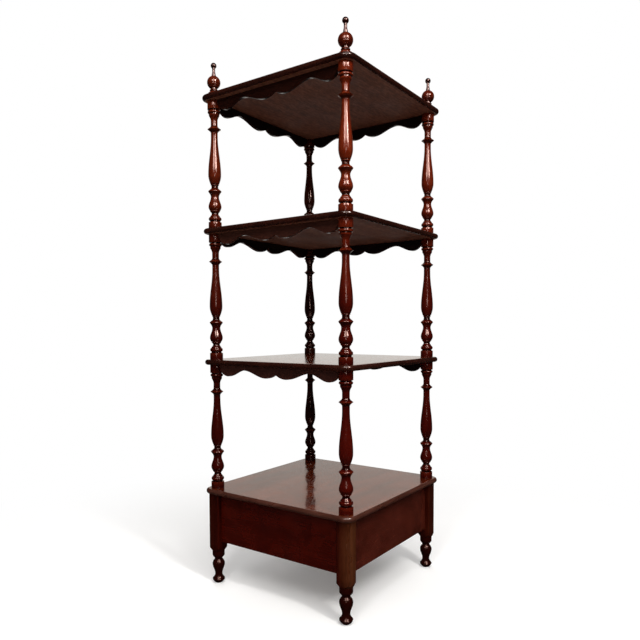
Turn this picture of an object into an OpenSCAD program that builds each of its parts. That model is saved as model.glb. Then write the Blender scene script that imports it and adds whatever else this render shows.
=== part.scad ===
// Etagere: four boards on turned posts, with a shallow drawer in the case under the lowest board.
// The origin is on the floor, midway between the four feet. +Z is up and the drawer opens towards -Y.
// Right is +X, as seen by someone who stands in front of the drawer.

/* [Layout] */
// Distance between post axes, left to right
post_x = 387; // [340:1:460]
// Distance between post axes, front to back
post_y = 379; // [330:1:450]
// Clear height between one board and the next
tier_gap = 305; // [270:1:420]

/* [Boards] */
// Thickness of each board
board_t = 13; // [10:0.5:18]
// Distance from a post axis to the edge of a board
board_overhang = 27; // [25:0.5:36]
// Radius of a board's corners in plan
board_corner_r = 25; // [14:0.5:36]

/* [Legs] */
// Width of a leg's square block
leg_w = 32; // [30:0.5:38]
// Radius along a leg block's upright edges
leg_edge_r = 3; // [1:0.25:5]
// Height of the square block
leg_block_h = 140; // [126:1:180]
// Height of the turned foot below the block
foot_h = 85; // [76:1:110]
// Height over which the block's corners are turned away at its lower end
leg_shoulder_h = 8; // [4:0.5:12]

/* [Foot turning] */
// Radius of the flat that stands on the floor
foot_flat_r = 8; // [5:0.25:11]
// Radius of the toe
toe_r = 15.2; // [12.5:0.1:16]
// Height of the toe's widest point
toe_h = 10; // [7:0.5:12]
// Height of the ankle's lower end
ankle_h = 21.5; // [18:0.5:24]
// Radius of the ankle
ankle_r = 9; // [7:0.1:11]
// Radius of the bulb above the ankle
bulb_r = 15.2; // [12:0.1:16]
// Height from the neck of the foot down to the bulb's widest point
bulb_cap_h = 12; // [8:0.5:14]
// Radius of the neck above the bulb
foot_neck_r = 9; // [7:0.1:11]
// Height of the ogee between that neck and the collar
foot_ogee_h = 10.5; // [7:0.5:13]
// Radius of the collar under the block
collar_r = 15; // [12:0.1:15]
// Height of the collar
collar_h = 11; // [6:0.5:14]

/* [Spindle turning, lower half] */
// Radius of the plain block at each end of a spindle
block_r = 15.8; // [14:0.1:17]
// Height of the lower plain block
block_h = 15.5; // [8:0.5:20]
// Radius at the bottom of a groove
groove_r = 12.3; // [10:0.1:13.5]
// Height of the lower groove
groove_h = 3.5; // [1.5:0.25:5]
// Radius of the rings next to the grooves
ring_r = 15.4; // [14:0.1:17]
// Height of the lower ring
ring_h = 9; // [5:0.5:12]
// Height of the cove above the lower ring
cove_h = 8; // [5:0.5:11]
// Radius of the necks
neck_r = 8.2; // [7.2:0.1:9.5]
// Height from the neck to the fine bead below the urn
urn_foot_h = 5; // [3:0.5:8]
// Height of the fine beads
bead_h = 2; // [1:0.25:4]
// Radius of the fine beads
bead_r = 12; // [11:0.1:13]
// Radius of the urn
urn_r = 15.6; // [14:0.1:17]
// Height of the urn's bowl, from the fine bead to its widest point
urn_bowl_h = 9.5; // [6:0.5:14]
// Height of the urn's shoulder, from its widest point to the waist
urn_shoulder_h = 24.5; // [16:0.5:32]
// Radius of the waist above the urn
waist_r = 9.8; // [8:0.1:11]
// Radius of the sharp discs
disc_r = 16; // [14:0.1:17]
// Height of the flare under the lower disc
disc_flare_h = 12.5; // [8:0.5:16]
// Height of the lower disc's domed top
disc_dome_h = 9.5; // [6:0.5:12]
// Height of the short neck above the lower disc
short_neck_h = 5.5; // [3:0.5:8]
// Radius at the bottom of the vase
vase_foot_r = 10; // [9:0.1:11]
// Radius of the vase at its widest
vase_r = 15.4; // [14:0.1:17]
// Height from the bottom of the vase to its widest point
vase_swell_h = 23; // [16:0.5:30]

/* [Spindle turning, upper half] */
// Height of the upper plain block
top_block_h = 20; // [12:0.5:24]
// Height of the upper groove
top_groove_h = 2.5; // [1.5:0.25:5]
// Height of the upper ring
top_ring_h = 6.5; // [4:0.5:9]
// Height of the step below the upper ring
top_step_h = 5; // [3:0.5:7]
// Radius of that step
top_step_r = 12.6; // [11:0.1:13.5]
// Height of the cove below the step
top_cove_h = 12; // [8:0.5:16]
// Height of the neck between the cove and the upper disc
top_neck_h = 11.5; // [6:0.5:16]
// Height of the flare on each side of the upper disc's edge
top_disc_flare_h = 9; // [6:0.5:12]
// Height of the plain neck under the upper disc
long_neck_h = 8.5; // [4:0.5:14]

/* [Finials] */
// Radius of the finial's foot
finial_foot_r = 15.5; // [13:0.1:17]
// Height of the finial's foot
finial_foot_h = 6; // [4:0.5:9]
// Height of the cove above the foot
finial_cove_h = 6.5; // [4:0.5:9]
// Radius of the neck under the large ball
finial_neck_r = 8; // [6.5:0.1:9.5]
// Radius of the large ball
ball_r = 16; // [14:0.1:18]
// Height of the large ball's middle above the board
ball_h = 32; // [31:0.5:36]
// Radius of the stem where it leaves the large ball
stem_r = 5.2; // [4.2:0.1:6]
// Radius of the stem under the small ball
stem_top_r = 3.6; // [2.8:0.1:4]
// Length of the stem's taper
stem_h = 13; // [9:0.5:18]
// Radius of the small ball
small_ball_r = 7; // [5.5:0.1:8.5]
// Height of the small ball's middle above the board
small_ball_h = 72; // [70:0.5:78]

/* [Dowels] */
// Radius of the turned dowel at the bottom of each spindle and finial
dowel_r = 6; // [4:0.1:7]
// Length of the dowel in the piece below the board
dowel_grip = 20; // [12:0.5:26]
// Space left at the bottom of a dowel's socket
socket_space = 1; // [0.5:0.25:2]
// Clearance round a dowel, on the radius
dowel_clear = 0.1; // [0.05:0.05:0.3]

/* [Aprons] */
// Thickness of an apron
apron_t = 9; // [6:0.5:12]
// Distance from the line of post axes out to an apron's outer face
apron_out = 5; // [2:0.5:9]
// Depth of an apron at its lobes
lobe_d = 27; // [22:0.5:32]
// Depth at the cusp in the middle
cusp_d = 17; // [13:0.5:20]
// Depth at the top of the rise between two lobes
rise_d = 11; // [8:0.5:16]
// Distance from the cusp to the lobe beside it
lobe_u = 30; // [22:0.5:36]
// Distance from a post axis to the outer lobe
end_lobe_in = 41.5; // [36:0.5:48]
// Distance from the outer lobe to the top of the rise
rise_in = 52; // [40:1:60]

/* [Case] */
// Distance that the panels and the drawer front lie behind the outer faces of the legs
panel_recess = 11; // [7:0.5:14]
// Thickness of the side and back panels
panel_t = 10; // [8:0.5:12]
// Height of the lower edge of the case above the lower end of the leg blocks
panel_lift = 20; // [10:1:30]
// Height of a panel's lower edge that has no tongue
haunch_h = 10; // [5:1:20]
// Thickness of the tongues on the panels
tongue_t = 5; // [3:0.5:6]
// Length of the tongues on the panels
tongue_len = 7; // [5:0.5:9]
// Height of the rail under the drawer
rail_h = 14; // [12:0.5:18]
// Thickness of the rail's tenon
tenon_t = 8; // [6:0.5:10]
// Height of the rail's tenon
tenon_h = 8; // [6:0.5:10]
// Length of the rail's tenon
tenon_len = 12; // [8:0.5:12]
// Clearance round tongues, tenons, tails and grooved boards
joint_clear = 0.1; // [0.05:0.05:0.3]
// Thickness of the drawer runners
runner_t = 10; // [8:0.5:12]
// Width of a runner under a drawer side
runner_in = 18; // [14:0.5:24]
// Height of the guides beside the drawer
guide_h = 14; // [10:0.5:24]
// Thickness of the drawer stops, front to back
stop_t = 8; // [6:0.5:12]
// Height of the drawer stops
stop_h = 20; // [12:0.5:30]
// Width of the drawer stops
stop_w = 14; // [10:0.5:14]
// Width of the glue blocks under the lowest board
glue_block_w = 11; // [8:0.5:11]
// Length of a glue block
glue_block_len = 60; // [40:1:80]

/* [Drawer] */
// Gap round the drawer front
drawer_gap = 0.8; // [0.5:0.1:1.5]
// Gap between the drawer sides and their runners, and between the drawer back and its stops
running_gap = 0.3; // [0.2:0.05:0.4]
// Thickness of the drawer front
front_t = 16; // [14:0.5:18]
// Thickness of the drawer sides and back
side_t = 9; // [8:0.5:11]
// Distance from the underside of the lowest board to the top of the drawer sides
side_drop = 3; // [2:0.5:6]
// Distance from the top of the drawer sides to the top of the drawer back
back_drop = 6; // [3:0.5:10]
// Thickness of the drawer bottom
bottom_t = 6; // [4:0.5:8]
// Height of the drawer bottom above the lower edge of the drawer sides
bottom_lift = 7; // [5:0.5:10]
// Depth of the groove that holds the drawer bottom
bottom_groove = 4; // [3:0.25:5]
// Length of the dovetails in the drawer front
front_tail_len = 11; // [9:0.5:12]
// Width of a dovetail at its end
tail_w = 22; // [16:0.5:24]
// Width of a dovetail at its root
tail_root_w = 16; // [10:0.5:18]
// Number of dovetails at each end of a drawer side
tail_count = 3; // [2:1:3]
// Radius of the nails that hold the drawer bottom to the drawer back
nail_r = 1; // [0.8:0.1:1.4]
// Length of a nail's shank
nail_len = 22; // [16:0.5:30]
// Radius of a nail's head
nail_head_r = 2.2; // [1.8:0.1:3]
// Thickness of a nail's head
nail_head_t = 0.8; // [0.5:0.1:1.2]
// Distance between the middle of the drawer bottom and the outer nails
nail_pitch = 110; // [80:1:130]

/* [Knobs] */
// Distance of each knob from the middle of the drawer front
knob_x = 88; // [60:1:120]
// Distance that a knob stands out from the drawer front
knob_out = 21; // [16:0.5:21]
// Radius of a knob
knob_r = 13; // [10:0.5:15]
// Radius of a knob's foot
knob_foot_r = 8.5; // [7.5:0.25:10]
// Height of a knob's foot
knob_foot_h = 5; // [3:0.25:6]
// Height of a knob's neck
knob_neck_h = 3.5; // [1:0.25:4]
// Height of the flare from the neck to the knob's edge
knob_flare_h = 6; // [3:0.25:7]
// Radius of a knob's neck
knob_neck_r = 5.8; // [5:0.1:7]
// Radius of a knob's dowel
knob_dowel_r = 4; // [3:0.1:4.5]
// Length of a knob's dowel
knob_dowel_len = 11; // [8:0.5:12]

/* [Hidden] */

// Colours of the polished outside, the turned work and the plain wood inside the case
polished = "#54210f";
turned = "#63240f";
dark_polished = "#47190d";
inside_wood = "#8a5a34";
iron = "#57534f";

// Boards from the bottom up
tiers = ["base", "middle", "upper", "top"];

// Steps along one curve of a turned or sawn outline
steps = 6;
// Sides of a round solid's shown mesh
$fn = 96;
// Extra length that carries a cut past a face
past = 1;

board_w = post_x + 2 * board_overhang;
board_d = post_y + 2 * board_overhang;
block_top = foot_h + leg_block_h;
leg_half = leg_w / 2;
hole_r = dowel_r + dowel_clear;
socket_depth = dowel_grip + socket_space;

// Height of a board's underside
function underside(tier) = block_top + search([tier], tiers)[0] * (board_t + tier_gap);

// -1 on the left and at the front, 1 on the right and at the back
function sign_of(side) = side == "left" || side == "front" ? -1 : 1;

// Places a shape on a post's axis
module at_post(x_side, y_side, z) {
    translate([sign_of(x_side) * post_x / 2, sign_of(y_side) * post_y / 2, z]) children();
}

// Turns a shape made for the right-hand side into the one for either side
module mirrored_for(side) {
    mirror([side == "left" ? 1 : 0, 0, 0]) children();
}

// ---- Curves of a turned outline, as points [radius, height] ----

// Ogee from one radius to another, upright at both ends
function ogee(r1, z1, r2, z2) =
    [for (i = [1:steps]) let (t = i / steps)
        [r1 + (r2 - r1) * (1 - cos(180 * t)) / 2, z1 + (z2 - z1) * t]];

// Quarter curve, steep at the start and upright at the end
function swell(r1, z1, r2, z2) =
    [for (i = [1:steps]) let (t = i / steps) [r1 + (r2 - r1) * sin(90 * t), z1 + (z2 - z1) * t]];

// Quarter curve, upright at the start and steep at the end
function flare(r1, z1, r2, z2) =
    [for (i = [1:steps]) let (t = i / steps) [r1 + (r2 - r1) * (1 - cos(90 * t)), z1 + (z2 - z1) * t]];

// Rounded ring that stands out from one radius to another
function bead(r1, r2, z1, z2) =
    [for (i = [0:steps]) let (a = 180 * i / steps)
        [r1 + (r2 - r1) * sin(a), (z1 + z2) / 2 - (z2 - z1) / 2 * cos(a)]];

// Part of a ball's outline, from the radius r1 below its middle to the radius r2 above it
function ball(r, z, r1, r2) =
    let (a1 = -acos(r1 / r), a2 = acos(r2 / r), n = 2 * steps)
    [for (i = [0:n]) let (a = a1 + (a2 - a1) * i / n) [r * cos(a), z + r * sin(a)]];

module turning(outline) {
    rotate_extrude() polygon(outline);
}

// ---- Boards ----

// Cross-section of a board from its inner line out to its half-round edge
module board_section(width) {
    square([width - board_t / 2, board_t]);
    translate([width - board_t / 2, board_t / 2]) circle(d = board_t);
}

module board_rim(across, along) {
    translate([across / 2 - board_corner_r, along / 2 - board_corner_r, 0])
        rotate([90, 0, 0]) linear_extrude(along - 2 * board_corner_r) board_section(board_corner_r);
}

module board_corner() {
    rotate_extrude(angle = 90) board_section(board_corner_r);
}

module board_blank() {
    inner_w = board_w - 2 * board_corner_r;
    inner_d = board_d - 2 * board_corner_r;
    translate([-inner_w / 2, -inner_d / 2, 0]) cube([inner_w, inner_d, board_t]);
    for (side = [0, 180]) {
        rotate(side) board_rim(board_w, board_d);
        rotate(side + 90) board_rim(board_d, board_w);
    }
    for (side = [0, 180]) rotate(side) {
        translate([inner_w / 2, inner_d / 2, 0]) board_corner();
        translate([-inner_w / 2, inner_d / 2, 0]) rotate(90) board_corner();
    }
}

module board(tier) {
    color(polished) translate([0, 0, underside(tier)]) difference() {
        board_blank();
        for (x_side = ["left", "right"], y_side = ["front", "back"])
            at_post(x_side, y_side, -past) cylinder(r = hole_r, h = board_t + 2 * past);
    }
}

// ---- Turned posts ----

module dowel() {
    translate([0, 0, -board_t - dowel_grip]) cylinder(r = dowel_r, h = board_t + dowel_grip + past);
}

// The lower half of a spindle, from the board up to the widest point of the vase
function spindle_lower_half() =
    let (
        groove_top = block_h + groove_h,
        ring_top = groove_top + ring_h,
        neck = ring_top + cove_h,
        bead_low = neck + urn_foot_h,
        bead_top = bead_low + bead_h,
        urn = bead_top + urn_bowl_h,
        waist = urn + urn_shoulder_h,
        disc = waist + disc_flare_h,
        dome_top = disc + disc_dome_h,
        vase_foot = dome_top + short_neck_h + bead_h
    ) concat(
        [[0, 0], [block_r, 0], [block_r, block_h], [groove_r, block_h + groove_h / 2]],
        bead(groove_r, ring_r, groove_top, ring_top),
        ogee(groove_r, ring_top, neck_r, neck),
        flare(neck_r, neck, bead_r - bead_h / 2, bead_low),
        bead(bead_r - bead_h / 2, bead_r, bead_low, bead_top),
        swell(bead_r, bead_top, urn_r, urn),
        ogee(urn_r, urn, waist_r, waist),
        flare(waist_r, waist, disc_r, disc),
        ogee(disc_r, disc, neck_r, dome_top),
        [[neck_r, dome_top + short_neck_h]],
        bead(vase_foot_r - bead_h / 2, vase_foot_r, vase_foot - bead_h, vase_foot),
        swell(vase_foot_r, vase_foot, vase_r, vase_foot + vase_swell_h)
    );

// The upper half, from the long neck up to the board above
function spindle_upper_half(tall) =
    let (
        groove_top = tall - top_block_h,
        ring_top = groove_top - top_groove_h,
        step_top = ring_top - top_ring_h,
        step_low = step_top - top_step_h,
        cove_low = step_low - top_cove_h,
        disc_top = cove_low - top_neck_h,
        disc = disc_top - top_disc_flare_h,
        disc_low = disc - top_disc_flare_h
    ) concat(
        [[neck_r, disc_low]],
        flare(neck_r, disc_low, disc_r, disc),
        mirrored(flare(neck_r, -disc_top, disc_r, -disc)),
        [[neck_r, disc_top], [neck_r, cove_low]],
        flare(neck_r, cove_low, top_step_r, step_low),
        [[top_step_r, step_top - top_step_h / 2]],
        bead(top_step_r, ring_r, step_top, ring_top),
        [[groove_r, ring_top + top_groove_h / 2], [block_r, groove_top], [block_r, tall], [0, tall]]
    );

// The same points upside down, in the opposite order
function mirrored(points) = [for (i = [len(points) - 1:-1:0]) [points[i][0], -points[i][1]]];

function spindle_outline(tall) =
    let (
        lower = spindle_lower_half(),
        upper_part = spindle_upper_half(tall),
        widest = lower[len(lower) - 1],
        long_neck = upper_part[0][1] - long_neck_h
    ) concat(lower, ogee(vase_r, widest[1], neck_r, long_neck), upper_part);

module spindle(tier, x_side, y_side) {
    color(turned) at_post(x_side, y_side, underside(tier) + board_t) difference() {
        union() {
            turning(spindle_outline(tier_gap));
            dowel();
        }
        translate([0, 0, tier_gap - socket_depth]) cylinder(r = hole_r, h = socket_depth + past);
    }
}

function finial_outline() =
    let (
        cove_top = finial_foot_h + finial_cove_h,
        bead_top = cove_top + bead_h,
        stem_low = ball_h + sqrt(ball_r * ball_r - stem_r * stem_r)
    ) concat(
        [[0, 0], [finial_foot_r, 0], [finial_foot_r, finial_foot_h / 2]],
        ogee(finial_foot_r, finial_foot_h / 2, finial_neck_r + bead_h / 2, cove_top),
        bead(finial_neck_r + bead_h / 2, finial_neck_r + bead_h, cove_top, bead_top),
        [[finial_neck_r, bead_top + bead_h / 2]],
        ball(ball_r, ball_h, finial_neck_r, stem_r),
        ogee(stem_r, stem_low, stem_top_r, stem_low + stem_h),
        ball(small_ball_r, small_ball_h, stem_top_r, 0)
    );

module finial(x_side, y_side) {
    color(turned) at_post(x_side, y_side, underside("top") + board_t) {
        turning(finial_outline());
        dowel();
    }
}

// ---- Aprons ----

// Points [distance from the cusp, depth under the board] along half of the lower edge
function apron_edge(half) =
    let (
        arc_r = (lobe_u * lobe_u + pow(lobe_d - cusp_d, 2)) / (2 * (lobe_d - cusp_d)),
        end_lobe = half - end_lobe_in,
        rise = end_lobe - rise_in,
        last = half - block_r / 2
    ) concat(
        [for (i = [0:2 * steps]) let (u = lobe_u * i / (2 * steps))
            [u, lobe_d - arc_r + sqrt(arc_r * arc_r - pow(lobe_u - u, 2))]],
        [for (p = ogee(lobe_d, lobe_u, rise_d, rise)) [p[1], p[0]]],
        [for (p = ogee(rise_d, rise, lobe_d, end_lobe)) [p[1], p[0]]],
        [for (i = [1:2 * steps]) let (a = 90 * i / (2 * steps), u = end_lobe + lobe_d * sin(a))
            if (u < last) [u, lobe_d * cos(a)]]
    );

// An apron along the X axis, with its outer face towards -Y, under the plane z = 0
module apron_board(between) {
    half = between / 2;
    edge = apron_edge(half);
    last = half - block_r / 2;
    end_d = edge[len(edge) - 1][1];
    difference() {
        translate([0, apron_t - apron_out, 0]) rotate([90, 0, 0]) linear_extrude(apron_t) polygon(concat(
            [for (p = edge) [p[0], -p[1]]],
            [[last, -end_d], [last, 0], [-last, 0], [-last, -end_d]],
            [for (i = [len(edge) - 1:-1:1]) [-edge[i][0], -edge[i][1]]]
        ));
        for (side = ["left", "right"])
            translate([sign_of(side) * half, 0, -lobe_d - past]) cylinder(r = block_r + joint_clear / 2, h = lobe_d + 2 * past);
    }
}

module front_apron(tier) {
    color(dark_polished) translate([0, -post_y / 2, underside(tier)]) apron_board(post_x);
}

module side_apron(tier, side) {
    color(polished) mirrored_for(side)
        translate([post_x / 2, 0, underside(tier)]) rotate(90) apron_board(post_y);
}

// ---- Legs and case ----

// Inner lines of the legs, outer faces of the panels, and the heights of the case
opening_half = post_x / 2 - leg_half;
inner_y = post_y / 2 - leg_half;
panel_face_x = post_x / 2 + leg_half - panel_recess;
panel_face_y = post_y / 2 + leg_half - panel_recess;
case_low = foot_h + panel_lift;
rail_top = case_low + rail_h;
tongue_low = case_low + haunch_h;

function foot_outline() =
    let (
        collar_top = foot_h - leg_shoulder_h / 2,
        collar_low = collar_top - collar_h,
        neck = collar_low - foot_ogee_h,
        bulb = neck - bulb_cap_h
    ) concat(
        [[0, 0], [foot_flat_r, 0]],
        swell(foot_flat_r, 0, toe_r, toe_h),
        mirrored(flare(ankle_r, -ankle_h, toe_r, -toe_h)),
        [[ankle_r, ankle_h]],
        ogee(ankle_r, ankle_h, bulb_r, bulb),
        mirrored(swell(foot_neck_r, -neck, bulb_r, -bulb)),
        [[foot_neck_r, neck]],
        ogee(foot_neck_r, neck, collar_r, collar_low),
        [[collar_r, collar_top], [0, collar_top]]
    );

module rounded_square(width, r) {
    square([width - 2 * r, width], center = true);
    square([width, width - 2 * r], center = true);
    for (x = [-1, 1], y = [-1, 1]) translate([x * (width / 2 - r), y * (width / 2 - r)]) circle(r);
}

// The square block, with its corners turned to a cone at the lower end
module leg_block() {
    low = foot_h - leg_shoulder_h / 2;
    corner_r = (leg_half - leg_edge_r) / cos(45) + leg_edge_r;
    intersection() {
        translate([0, 0, low]) linear_extrude(block_top - low) rounded_square(leg_w, leg_edge_r);
        turning([[0, low], [collar_r, low], [corner_r, low + leg_shoulder_h],
            [leg_w, low + leg_shoulder_h], [leg_w, block_top], [0, block_top]]);
    }
}

// A leg stands on its own axis. The case lies on its -X and -Y sides.
module leg_blank(is_back) {
    groove_t = tongue_t + 2 * joint_clear;
    groove_len = tongue_len + joint_clear;
    groove_mid = leg_half - panel_recess - panel_t / 2;
    tenon_mid = leg_half - panel_recess - rail_depth / 2;
    difference() {
        union() {
            turning(foot_outline());
            leg_block();
        }
        translate([0, 0, block_top - socket_depth]) cylinder(r = hole_r, h = socket_depth + past);
        translate([groove_mid - groove_t / 2, -leg_half - past, tongue_low - joint_clear])
            cube([groove_t, groove_len + past, block_top]);
        if (is_back)
            translate([-leg_half - past, groove_mid - groove_t / 2, tongue_low - joint_clear])
                cube([groove_len + past, groove_t, block_top]);
        else
            translate([-leg_half - past, tenon_mid - tenon_t / 2 - joint_clear, tenon_low - joint_clear])
                cube([tenon_len + joint_clear + past, tenon_t + 2 * joint_clear, tenon_h + 2 * joint_clear]);
    }
}

module leg(x_side, y_side) {
    is_back = y_side == "back";
    color(polished) at_post(x_side, y_side, 0)
        mirrored_for(x_side) mirror([0, is_back ? 0 : 1, 0]) leg_blank(is_back);
}

// A panel along the Y axis with its outer face at x = 0 and a tongue at each end
module panel(between) {
    translate([-panel_t, -between / 2, case_low]) cube([panel_t, between, block_top - case_low]);
    translate([-(panel_t + tongue_t) / 2, -between / 2 - tongue_len, tongue_low])
        cube([tongue_t, between + 2 * tongue_len, block_top - tongue_low]);
}

module side_panel(side) {
    color(polished) mirrored_for(side) translate([panel_face_x, 0, 0]) panel(2 * inner_y);
}

module back_panel() {
    color(polished) translate([0, panel_face_y, 0]) rotate(90) panel(2 * opening_half);
}

rail_depth = panel_face_y - inner_y;
tenon_low = case_low + (rail_h - tenon_h) / 2;

module front_rail() {
    color(dark_polished) {
        translate([-opening_half, -panel_face_y, case_low]) cube([2 * opening_half, rail_depth, rail_h]);
        translate([-opening_half - tenon_len, -panel_face_y + (rail_depth - tenon_t) / 2, tenon_low])
            cube([2 * (opening_half + tenon_len), tenon_t, tenon_h]);
    }
}

// ---- Drawer runners, guides, stops and glue blocks ----

panel_inner_x = panel_face_x - panel_t;
panel_inner_y = panel_face_y - panel_t;

module runner(side) {
    color(inside_wood) mirrored_for(side)
        translate([opening_half - runner_in, -inner_y, rail_top - runner_t])
            cube([panel_inner_x - opening_half + runner_in, 2 * inner_y, runner_t]);
}

module guide(side) {
    color(inside_wood) mirrored_for(side)
        translate([opening_half, -inner_y, rail_top]) cube([panel_inner_x - opening_half, 2 * inner_y, guide_h]);
}

module drawer_stops() {
    color(inside_wood) for (side = ["left", "right"]) mirrored_for(side)
        translate([opening_half - stop_w - drawer_gap, inner_y - stop_t, rail_top])
            cube([stop_w, stop_t, stop_h]);
}

// A three-cornered block along the Y axis that fills the corner between a panel at x = 0 and the board above
module glue_block() {
    translate([0, glue_block_len / 2, 0]) rotate([90, 0, 0]) linear_extrude(glue_block_len)
        polygon([[0, 0], [-glue_block_w, 0], [0, -glue_block_w]]);
}

module glue_blocks() {
    color(inside_wood) for (along = [-1, 1]) {
        for (side = ["left", "right"]) mirrored_for(side)
            translate([panel_inner_x, along * inner_y / 2, block_top]) glue_block();
        translate([along * opening_half / 2, panel_inner_y, block_top]) rotate(90) glue_block();
    }
}

// ---- Drawer ----

drawer_half = opening_half - drawer_gap;
drawer_inner = drawer_half - side_t;
front_face_y = -panel_face_y;
front_back_y = front_face_y + front_t;
drawer_end_y = inner_y - stop_t - running_gap;
front_low = rail_top + drawer_gap;
front_top = block_top - drawer_gap;
side_low = rail_top + running_gap;
side_top = block_top - side_drop;
bottom_low = side_low + bottom_lift;
bottom_top = bottom_low + bottom_t;
back_low = bottom_top + joint_clear;
back_top = side_top - back_drop;
tail_pitch = (back_top - back_low) / tail_count;

// Dovetails that grow from the plane y = 0 towards -Y, spaced over the height of the drawer back
module tails(length, clear) {
    for (i = [0:tail_count - 1])
        translate([0, 0, back_low + (i + 0.5) * tail_pitch]) rotate([90, 0, 90])
            translate([0, 0, drawer_inner - clear]) linear_extrude(side_t + clear + past) polygon([
                [0, -tail_root_w / 2 - clear],
                [-length - clear, -tail_w / 2 - clear],
                [-length - clear, tail_w / 2 + clear],
                [0, tail_root_w / 2 + clear]
            ]);
}

module both_ends_tails(clear) {
    translate([0, front_back_y, 0]) tails(front_tail_len, clear);
    translate([0, drawer_end_y - side_t, 0]) mirror([0, 1, 0]) tails(side_t, clear);
}

// Space of the drawer bottom in the sides and the front, with a clearance all round
module bottom_space(clear) {
    reach = drawer_inner + bottom_groove + clear;
    translate([-reach, front_back_y - bottom_groove - clear, bottom_low - clear])
        cube([2 * reach, drawer_end_y - front_back_y + bottom_groove + clear, bottom_t + 2 * clear]);
}

module drawer_front() {
    knob_z = (front_low + front_top) / 2;
    color(dark_polished) difference() {
        translate([-drawer_half, front_face_y, front_low]) cube([2 * drawer_half, front_t, front_top - front_low]);
        for (side = ["left", "right"]) {
            mirrored_for(side) translate([0, front_back_y + joint_clear, 0])
                tails(front_tail_len + joint_clear, joint_clear);
            translate([sign_of(side) * knob_x, front_face_y - past, knob_z]) rotate([-90, 0, 0])
                cylinder(r = knob_dowel_r + dowel_clear, h = knob_dowel_len + socket_space + past);
        }
        bottom_space(joint_clear);
    }
}

module drawer_side(side) {
    color(inside_wood) mirrored_for(side) intersection() {
        difference() {
            union() {
                translate([drawer_inner, front_back_y, side_low])
                    cube([side_t, drawer_end_y - side_t - front_back_y, side_top - side_low]);
                both_ends_tails(0);
            }
            bottom_space(joint_clear);
        }
        translate([drawer_inner, front_face_y, side_low])
            cube([side_t, drawer_end_y - front_face_y, side_top - side_low]);
    }
}

module drawer_back() {
    color(inside_wood) difference() {
        translate([-drawer_half, drawer_end_y - side_t, back_low])
            cube([2 * drawer_half, side_t, back_top - back_low]);
        for (side = ["left", "right"]) mirrored_for(side)
            translate([0, drawer_end_y - side_t - joint_clear, 0]) mirror([0, 1, 0])
                tails(side_t + 2 * joint_clear, joint_clear);
        for (n = [-1:1])
            translate([n * nail_pitch, drawer_end_y - side_t / 2, back_low - past])
                cylinder(r = nail_r + dowel_clear, h = nail_len - bottom_t + socket_space + past);
    }
}

module drawer_bottom() {
    reach = drawer_inner + bottom_groove;
    color(inside_wood) difference() {
        translate([-reach, front_back_y - bottom_groove, bottom_low])
            cube([2 * reach, drawer_end_y - front_back_y + bottom_groove, bottom_t]);
        for (n = [-1:1])
            translate([n * nail_pitch, drawer_end_y - side_t / 2, bottom_low - past])
                cylinder(r = nail_r + dowel_clear, h = bottom_t + 2 * past);
    }
}

module drawer_bottom_nails() {
    color(iron) for (n = [-1:1]) translate([n * nail_pitch, drawer_end_y - side_t / 2, bottom_low]) {
        cylinder(r = nail_r, h = nail_len);
        translate([0, 0, -nail_head_t]) cylinder(r = nail_head_r, h = nail_head_t);
    }
}

// A knob along +Z, with its foot on the plane z = 0
function knob_outline() =
    let (neck = knob_foot_h + knob_neck_h, edge = neck + knob_flare_h)
    concat(
        [[0, 0], [knob_foot_r, 0]],
        ogee(knob_foot_r, 0, knob_neck_r, knob_foot_h),
        [[knob_neck_r, neck]],
        flare(knob_neck_r, neck, knob_r, edge),
        [for (i = [1:2 * steps]) let (a = 90 * i / (2 * steps))
            [knob_r * cos(a), edge + (knob_out - edge) * sin(a)]]
    );

module knob(side) {
    color(turned) translate([sign_of(side) * knob_x, front_face_y, (front_low + front_top) / 2]) rotate([90, 0, 0]) {
        turning(knob_outline());
        translate([0, 0, -knob_dowel_len]) cylinder(r = knob_dowel_r, h = knob_dowel_len + past);
    }
}

board("top");  // top_board
board("upper");  // upper_board
board("middle");  // middle_board
board("base");  // base_board
finial("left", "front");  // finial_front_left
finial("right", "front");  // finial_front_right
finial("left", "back");  // finial_back_left
finial("right", "back");  // finial_back_right
spindle("upper", "left", "front");  // upper_spindle_front_left
spindle("upper", "right", "front");  // upper_spindle_front_right
spindle("upper", "left", "back");  // upper_spindle_back_left
spindle("upper", "right", "back");  // upper_spindle_back_right
spindle("middle", "left", "front");  // middle_spindle_front_left
spindle("middle", "right", "front");  // middle_spindle_front_right
spindle("middle", "left", "back");  // middle_spindle_back_left
spindle("middle", "right", "back");  // middle_spindle_back_right
spindle("base", "left", "front");  // lower_spindle_front_left
spindle("base", "right", "front");  // lower_spindle_front_right
spindle("base", "left", "back");  // lower_spindle_back_left
spindle("base", "right", "back");  // lower_spindle_back_right
front_apron("top");  // top_apron_front
side_apron("top", "left");  // top_apron_left
side_apron("top", "right");  // top_apron_right
front_apron("upper");  // upper_apron_front
side_apron("upper", "left");  // upper_apron_left
side_apron("upper", "right");  // upper_apron_right
front_apron("middle");  // middle_apron_front
side_apron("middle", "left");  // middle_apron_left
side_apron("middle", "right");  // middle_apron_right
leg("left", "front");  // leg_front_left
leg("right", "front");  // leg_front_right
leg("left", "back");  // leg_back_left
leg("right", "back");  // leg_back_right
side_panel("left");  // left_panel
side_panel("right");  // right_panel
back_panel();
front_rail();
runner("left");  // drawer_runner_left
runner("right");  // drawer_runner_right
guide("left");  // drawer_guide_left
guide("right");  // drawer_guide_right
drawer_stops();
glue_blocks();
drawer_front();
drawer_side("left");  // drawer_side_left
drawer_side("right");  // drawer_side_right
drawer_back();
drawer_bottom();
drawer_bottom_nails();
knob("left");  // drawer_knob_left
knob("right");  // drawer_knob_right
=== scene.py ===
import math

import bmesh
import bpy
from mathutils import Matrix, Vector


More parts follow.
